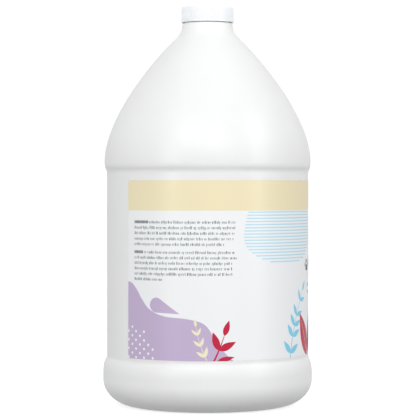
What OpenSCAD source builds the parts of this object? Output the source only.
// One-gallon round bottle with a moulded-in handle, a ribbed screw cap with a foam liner, and a wrap label.
// Z runs up the bottle's axis from the surface it stands on.
// +Y points to the handle, and +X to the middle of the label.

/* [Body] */
// Radius of the lower bumper, the widest part of the bottle
bumper_r = 79; // [78.5:0.5:82]
// Radius of the recessed panel that carries the label
panel_r = 76.2; // [75:0.1:77]
// Radius of the upper bumper, where the shoulder starts
shoulder_r = 78; // [77.5:0.5:80]
// Height at which the shoulder leaves the upper bumper
shoulder_z = 183.6; // [180:0.2:186]
// Height of the rounded heel
heel_h = 20; // [14:1:24]
// Thickness of the blown wall
wall = 1; // [0.8:0.1:1.4]

/* [Neck] */
// Height of the pouring lip above the surface that the bottle stands on
lip_z = 298.6; // [296:0.2:302]
// Radius of the bore
bore_r = 15.8; // [15:0.1:16.2]
// Radius of the neck between the threads
finish_r = 17.5; // [17.3:0.1:17.6]
// Radius over the neck's thread
thread_r = 18.65; // [18.5:0.05:18.7]
// Rise of the thread in one turn
pitch = 4.23; // [4.1:0.01:4.4]

/* [Handle] */
// Width of the grip across the hand
grip_w = 26; // [22:1:30]
// Thickness of the grip, from its outer face to its finger side
grip_d = 20; // [16:1:20]
// Distance from the bottle's axis to the middle of the upright grip
grip_y = 66; // [62:0.5:67]
// Distance from the bottle's axis to the wall behind the fingers
recess_y = 30; // [28:0.5:32]

/* [Cap] */
// Height of the cap
cap_h = 12; // [11.5:0.1:12.2]
// Radius over the plain band at the cap's rim
cap_r = 19.9; // [19.85:0.05:20.4]
// Number of grip ribs round the cap
rib_count = 90; // [60:1:120]
// Thickness of the foam liner inside the cap
liner_t = 1; // [0.8:0.1:1.2]

/* [Label] */
// Height of the label
label_h = 130; // [100:1:130]
// Angle that the label covers, centred on +X
label_angle = 279; // [240:0.1:340]
// Thickness of the label film
label_t = 0.1; // [0.08:0.01:0.2]

/* [Hidden] */
$fn = 96;

// Body outline: the standing ring, the push-up inside it, the bumpers and the shoulder.
// A name that ends in _lead says how far a curve is led on before it turns.
ring_in_r = 47;
ring_out_r = 55;
pushup_h = 5;
pushup_lead = [6, 0.6];
bumper_z = 26.2;
bumper_lead = 5.4;
panel_z0 = 36.6;
panel_foot_lead = [1, -0.8];
panel_z1 = 175;
panel_top_lead = 3.6;
upper_bumper_z = 182.8;
upper_bumper_lead = 5.2;
shoulder_rise = 28.4;
shoulder_run = 25.3;

// Neck outline: a short collar under the cap, and the finish that the cap screws onto
shoulder_top = [24.4, 276.8];
collar_start = 0.6;
collar_lead = [3.4, 2.1];
collar_flare = 0.05;
collar_r0 = 19.4;
collar_z0 = 285;
collar_r1 = 18.9;
collar_chamfer = 0.4;
finish_h = 10.2;
finish_z = lip_z - finish_h;
lip_round = 0.6;
bore_flare_z = 284;
above_lip = 1;

// Thread: both ridges follow one helix, and the cap's lies a little below the neck's.
// A ridge's section is [width at its root, width at its crest].
ridge_steps = 28;
fade_steps = 3;
ridge_bite = 0.3;
neck_ridge = [2, 1];
neck_ridge_steps = 35;
neck_ridge_top = 2.6;
cap_ridge = [1.6, 0.8];
cap_ridge_steps = 31;
cap_ridge_start = 4.6;
cap_ridge_drop = 1.42;

// Cap
cap_top_t = 1.2;
cap_z0 = lip_z + liner_t + cap_top_t - cap_h;
cap_inner_r = 19;
cap_ridge_r = 17.85;
rib_crest_r = cap_r - 0.08;
rib_root_r = cap_r - 0.35;
core_r = cap_r - 0.5;
rim_h = 1.6;
rim_chamfer = 0.2;
below_rim = 1;
rim_bevel = 0.3;
cap_top_round = 0.9;
rib_top_gap = 0.2;
rib_corners = [[0, rib_root_r], [0.25, rib_crest_r], [0.65, rib_crest_r], [0.9, rib_root_r]];
liner_r = 18.3;

// Handle: the grip runs level out of the shoulder, bends down, and stands in the recess floor
grip_top_z = 262;
grip_bend_r = 20;
grip_start_y = 12;
grip_foot_z = 186;
recess_turn_r = 150;
recess_floor_z = 198;
recess_fillet = 16;
recess_slope = 12;
recess_out_y = 100;
recess_top_z = 285;

label_z0 = 39.4;

// Points along a cubic curve from a to d
function bezier(a, b, c, d, n) = [
    for (i = [0:n]) let (t = i / n)
        a * pow(1 - t, 3) + 3 * b * t * pow(1 - t, 2) + 3 * c * t * t * (1 - t) + d * pow(t, 3)
];

// Points along an elliptical arc about c, with radii r, from angle a0 to a1
function arc(c, r, a0, a1, n) = [
    for (i = [0:n]) let (a = a0 + (a1 - a0) * i / n) [c[0] + r[0] * cos(a), c[1] + r[1] * sin(a)]
];

// The unit vector to the left of the way from a to b
function left_of(a, b) = let (d = b - a) [-d[1], d[0]] / norm(d);

// A line moved sideways, to its left, by t
function beside(line, t) = [
    for (i = [0:len(line) - 1])
        let (before = left_of(line[max(i - 1, 0)], line[max(i, 1)]),
             after = left_of(line[min(i, len(line) - 2)], line[min(i + 1, len(line) - 1)]),
             middle = (before + after) / norm(before + after))
        line[i] + middle * t / (middle * before)
];

// The bottle's outer line as [radius, height], from the middle of its underside to the top of the shoulder
function body_line() = concat(
    bezier([0, pushup_h], [ring_in_r * 0.6, pushup_h],
           [ring_in_r - pushup_lead[0], pushup_lead[1]], [ring_in_r, 0], 8),
    arc([ring_out_r, heel_h], [bumper_r - ring_out_r, heel_h], -90, 0, 12),
    bezier([bumper_r, bumper_z], [bumper_r, bumper_z + bumper_lead],
           [panel_r, panel_z0] + panel_foot_lead, [panel_r, panel_z0], 8),
    bezier([panel_r, panel_z1], [panel_r, panel_z1 + panel_top_lead],
           [shoulder_r, upper_bumper_z - upper_bumper_lead], [shoulder_r, upper_bumper_z], 8),
    bezier([shoulder_r, shoulder_z], [shoulder_r, shoulder_z + shoulder_rise],
           shoulder_top + [shoulder_run, -shoulder_run], shoulder_top, 24)
);

// The collar's line, from the top of the shoulder to the start of the finish
function collar_line() = bezier(
    shoulder_top + collar_start * [-1, 1], shoulder_top + collar_lead[0] * [-1, 1],
    [collar_r0 + collar_flare, collar_z0 - collar_lead[1]], [collar_r0, collar_z0], 5
);

module body_outer() {
    rotate_extrude()
        polygon(concat(
            body_line(),
            collar_line(),
            [[collar_r1, finish_z - collar_chamfer], [collar_r1 - collar_chamfer, finish_z]],
            [[finish_r, finish_z]],
            arc([finish_r - lip_round, lip_z - lip_round], [lip_round, lip_round], 0, 90, 4),
            [[0, lip_z]]
        ));
}

module body_inner() {
    line = beside(body_line(), wall);
    rotate_extrude()
        polygon(concat(
            [[0, pushup_h + wall]],
            [for (i = [1:len(line) - 1]) line[i]],
            [[bore_r, bore_flare_z], [bore_r, lip_z + above_lip], [0, lip_z + above_lip]]
        ));
}

// The wall and floor behind the fingers as [distance from the axis, height], from the top down
function recess_line() = let (
        corner = [recess_y + recess_fillet, recess_floor_z + recess_fillet],
        slope_end = 270 - recess_slope
    ) concat(
        [[recess_y, recess_top_z]],
        arc(corner, [recess_fillet, recess_fillet], 180, slope_end, 8),
        [[recess_out_y, recess_floor_z - (recess_out_y - recess_y - recess_fillet) * tan(recess_slope)]]
    );

// The space cut out of the shoulder round the grip, grown by `more` on the bottle's side
module recess(more = 0) {
    line = [for (p = beside(recess_line(), -more)) p + [recess_turn_r - recess_y, 0]];
    out = recess_turn_r - recess_y + recess_out_y;
    translate([0, recess_y - recess_turn_r, 0])
        rotate([0, 0, 45])
            rotate_extrude(angle = 90)
                polygon(concat(line, [[out, line[len(line) - 1][1]], [out, recess_top_z]]));
}

module grip_section(less) {
    r = grip_d / 2 - less;
    flat = (grip_w - grip_d) / 2;
    square([2 * flat, 2 * r], center = true);
    for (side = [-1, 1])
        translate([side * flat, 0]) circle(r);
}

// The grip, made thinner all round by `less`
module grip(less = 0) {
    bend_y = grip_y - grip_bend_r;
    bend_z = grip_top_z - grip_bend_r;
    translate([0, grip_start_y, grip_top_z])
        rotate([-90, 0, 0])
            linear_extrude(bend_y - grip_start_y) grip_section(less);
    translate([0, bend_y, bend_z])
        rotate([0, 90, 0])
            rotate([0, 0, 90])
                rotate_extrude(angle = 90)
                    translate([grip_bend_r, 0]) rotate(90) grip_section(less);
    translate([0, grip_y, grip_foot_z])
        linear_extrude(bend_z - grip_foot_z) grip_section(less);
}

// Four corners of a thread ridge's section at step i: two buried in the wall, then two at the crest
function ridge_ring(i, steps, root_r, crest_r, width, z0) =
    let (
        a = 360 * i / ridge_steps,
        z = z0 + pitch * i / ridge_steps,
        inward = sign(root_r - crest_r),
        full = min(1, min(i, steps - i) / fade_steps),
        r0 = root_r + inward * ridge_bite,
        r1 = full > 0 ? root_r + (crest_r - root_r) * full : root_r + inward * ridge_bite / 2,
        b = width[0] / 2 + ridge_bite * (width[0] - width[1]) / 2 / abs(crest_r - root_r),
        c = width[0] / 2 + (width[1] - width[0]) / 2 * full
    )
    [for (q = [[r0, -b], [r1, -c], [r1, c], [r0, b]]) [q[0] * cos(a), q[0] * sin(a), z + q[1]]];

// A helical ridge on a wall of radius root_r, standing out to crest_r, whose middle starts at height z0
module ridge(root_r, crest_r, width, z0, steps) {
    points = [for (i = [0:steps]) each ridge_ring(i, steps, root_r, crest_r, width, z0)];
    outward = crest_r > root_r;
    sides = [
        for (i = [0:steps - 1], k = [0:3])
            let (a = 4 * i + k, b = 4 * i + (k + 1) % 4)
            each [[a, b, b + 4], [a, b + 4, a + 4]]
    ];
    last = 4 * steps;
    ends = [[0, 3, 2], [0, 2, 1], [last, last + 1, last + 2], [last, last + 2, last + 3]];
    faces = concat(sides, ends);
    polyhedron(points, outward ? faces : [for (f = faces) [f[0], f[2], f[1]]], convexity = 8);
}

// Height of the middle of the neck's ridge where it starts, at +X
helix_z = lip_z - neck_ridge_top - pitch * neck_ridge_steps / ridge_steps;

module bottle() {
    color("white") {
        difference() {
            union() {
                difference() {
                    body_outer();
                    recess();
                }
                grip();
            }
            difference() {
                body_inner();
                recess(wall);
            }
            grip(wall);
        }
        ridge(finish_r, thread_r, neck_ridge, helix_z, neck_ridge_steps);
    }
}

// The ribbed outline of the cap, seen from above: each rib is a flat crest between two sloping flanks
module rib_outline() {
    polygon([
        for (i = [0:rib_count - 1])
            each [
                for (corner = rib_corners)
                    let (a = 360 / rib_count * (i + corner[0])) corner[1] * [cos(a), sin(a)]
            ]
    ]);
}

// The cap's plain shape without its ribs: the rim band, the skirt's core and the rounded crown
module cap_core() {
    rotate_extrude()
        polygon(concat(
            [[0, 0], [cap_r - rim_chamfer, 0], [cap_r, rim_chamfer]],
            [[cap_r, rim_h - rim_bevel], [core_r, rim_h + rim_chamfer]],
            arc([core_r - cap_top_round, cap_h - cap_top_round], [cap_top_round, cap_top_round], 0, 90, 5),
            [[0, cap_h]]
        ));
}

module cap() {
    color("white") {
        translate([0, 0, cap_z0])
            difference() {
                union() {
                    cap_core();
                    translate([0, 0, rim_h / 2])
                        linear_extrude(cap_h - rim_h / 2 - cap_top_round - rib_top_gap) rib_outline();
                }
                translate([0, 0, -below_rim])
                    cylinder(r = cap_inner_r, h = lip_z + liner_t - cap_z0 + below_rim);
            }
        rotate([0, 0, 360 * cap_ridge_start / ridge_steps])
            ridge(cap_inner_r, cap_ridge_r, cap_ridge,
                  helix_z - cap_ridge_drop + pitch * cap_ridge_start / ridge_steps, cap_ridge_steps);
    }
}

module cap_liner() {
    color("gainsboro")
        translate([0, 0, lip_z])
            cylinder(r = liner_r, h = liner_t);
}

module wrap_label() {
    color("cornsilk")
        rotate([0, 0, -label_angle / 2])
            rotate_extrude(angle = label_angle)
                translate([panel_r, label_z0]) square([label_t, label_h]);
}

bottle();
cap();
cap_liner();
wrap_label();
